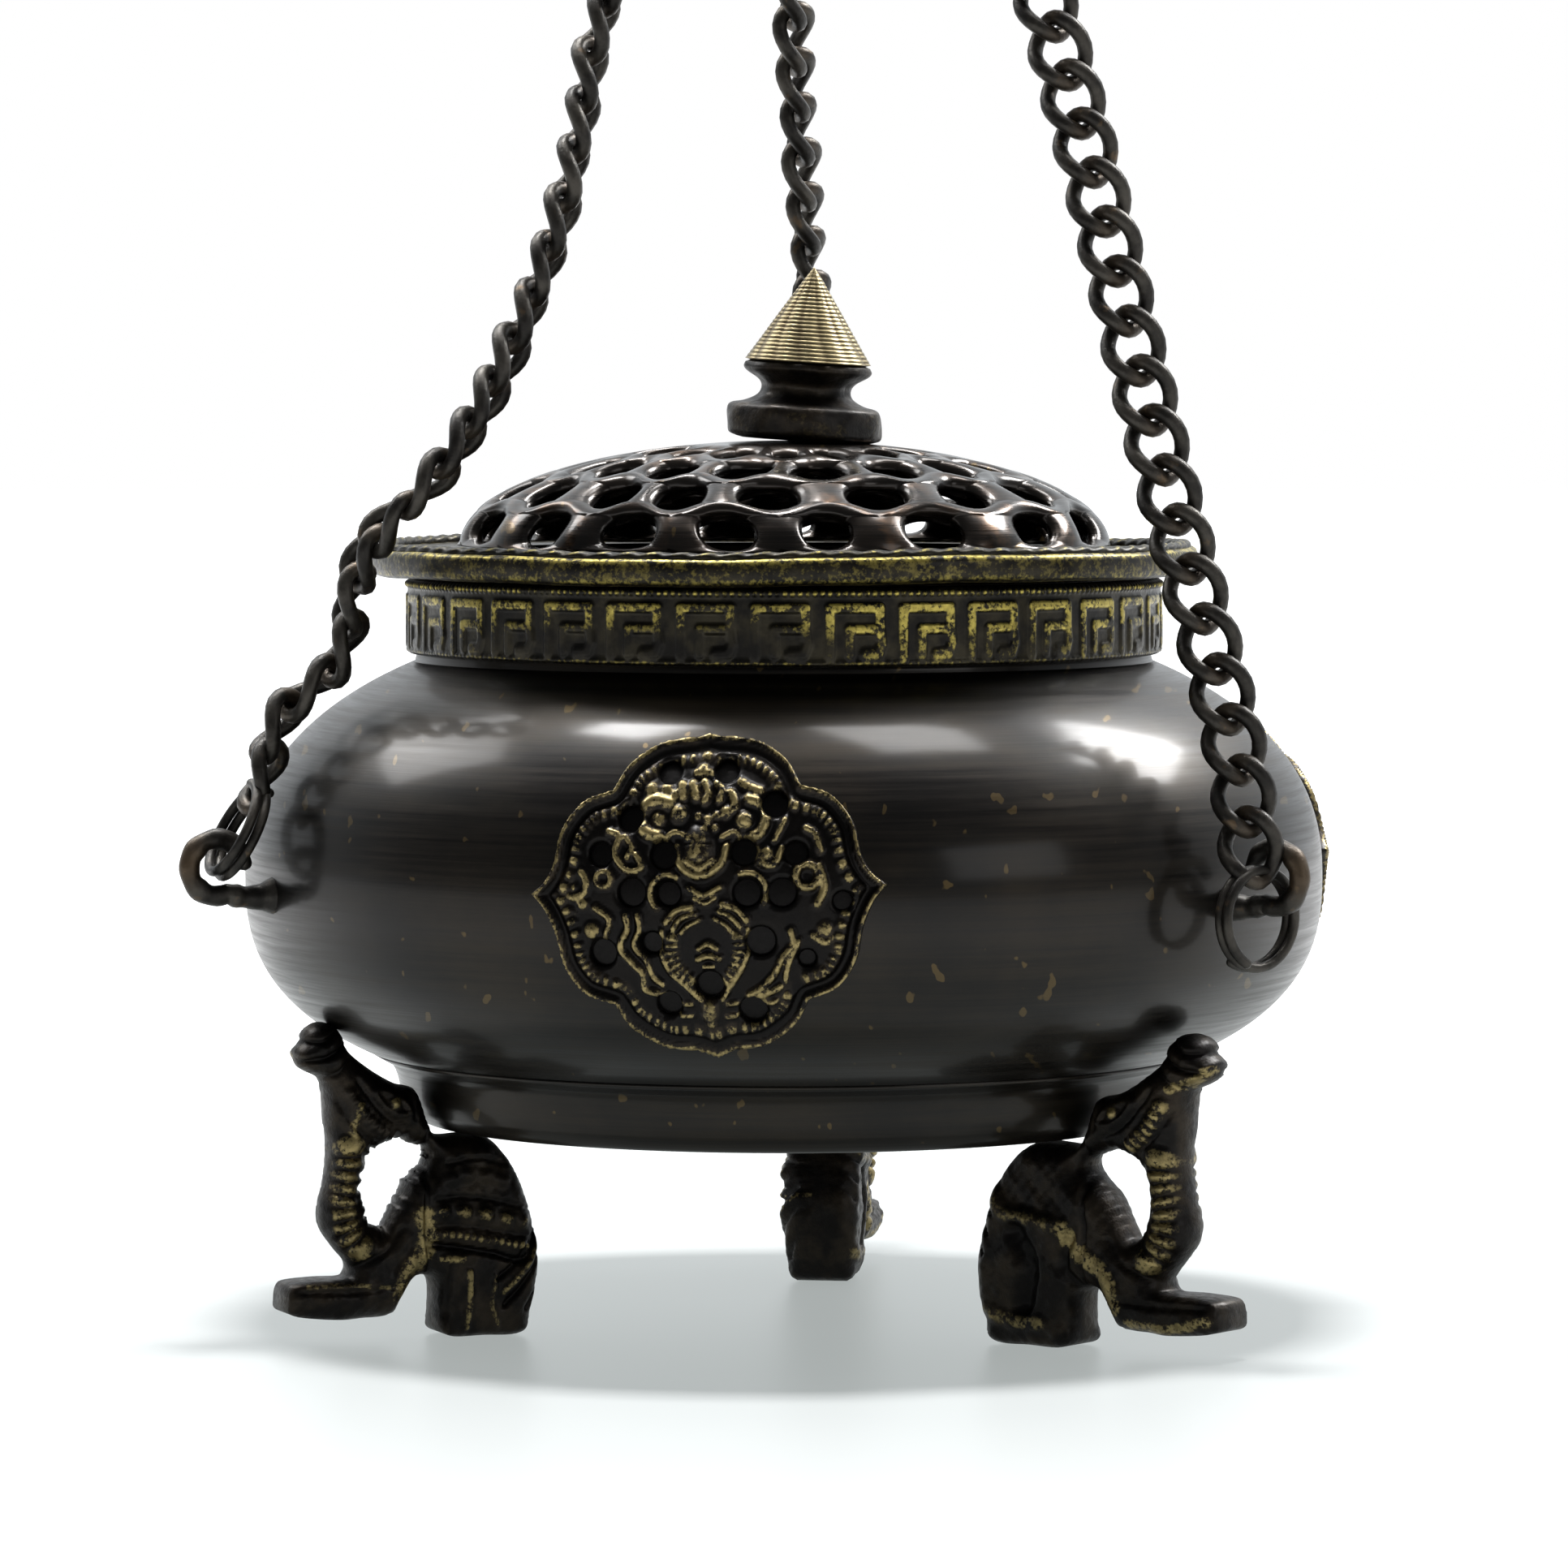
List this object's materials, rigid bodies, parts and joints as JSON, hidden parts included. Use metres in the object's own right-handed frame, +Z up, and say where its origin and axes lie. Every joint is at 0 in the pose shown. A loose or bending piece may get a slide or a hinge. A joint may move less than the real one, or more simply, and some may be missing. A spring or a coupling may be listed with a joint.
{
  "type": "hanging incense censer",
  "caption": "Round-bellied hanging incense censer with a pierced lid, elephant feet, openwork medallions and chains gathered on one ring.",
  "frame": {"origin": "on the surface the feet rest on, under the bowl's axis", "axes": "+Z up along the bowl's axis; -Y is the front, where one medallion faces; one foot and one chain are at +Y"},
  "size_m": [0.1162, 0.1256, 0.2374],
  "materials": {
    "dark_bronze": "dark brown-black glossy patina over brass",
    "worn_brass": "patina rubbed back to yellow brass on the raised work",
    "pale_brass": "bare turned brass, lightly tarnished",
    "gunmetal": "dull grey-brown oxidised wire"
  },
  "bodies": {
    "bowl": {"bowl": "dark_bronze", "base_ring": "dark_bronze", "fret_band": "worn_brass", "elephant_foot_back": "dark_bronze", "elephant_foot_left": "dark_bronze", "elephant_foot_right": "dark_bronze", "chain_hook_back": "gunmetal", "chain_hook_left": "gunmetal", "chain_hook_right": "gunmetal", "chain_back": "gunmetal", "chain_left": "gunmetal", "chain_right": "gunmetal", "medallion_front": "worn_brass", "medallion_left_back": "worn_brass", "medallion_right_back": "worn_brass", "gathering_ring": "gunmetal"},
    "lid": {"lid_flange": "worn_brass", "lid_dome": "dark_bronze", "lid_spigot": "dark_bronze", "finial_neck": "dark_bronze", "finial_cone": "pale_brass", "finial_stud": "worn_brass"},
    "ring_left": {"split_ring_left": "gunmetal"},
    "ring_right": {"split_ring_right": "gunmetal"},
    "ring_back": {"split_ring_back": "gunmetal"},
    "hanger": {"hanging_hook": "gunmetal"}
  },
  "joints": [
    {"name": "lid_lift", "type": "slide", "parent": "bowl", "child": "lid", "axis": [0, 0, 1], "range_m": [0, 0.005]},
    {"name": "ring_back_swing", "type": "hinge", "parent": "bowl", "child": "ring_back", "pos_m": [0, 0.063, 0.04655], "axis": [0, 1, 0], "range_deg": [-12, 12]},
    {"name": "ring_left_swing", "type": "hinge", "parent": "bowl", "child": "ring_left", "pos_m": [-0.05456, -0.0315, 0.04655], "axis": [-0.866, -0.5, 0], "range_deg": [-12, 12]},
    {"name": "ring_right_swing", "type": "hinge", "parent": "bowl", "child": "ring_right", "pos_m": [0.05456, -0.0315, 0.04655], "axis": [0.866, -0.5, 0], "range_deg": [-12, 12]},
    {"name": "hanger_swing", "type": "hinge", "parent": "bowl", "child": "hanger", "pos_m": [0.004, 0.0005, 0.2125], "axis": [1, 0, 0], "range_deg": [-60, 60]}
  ]
}
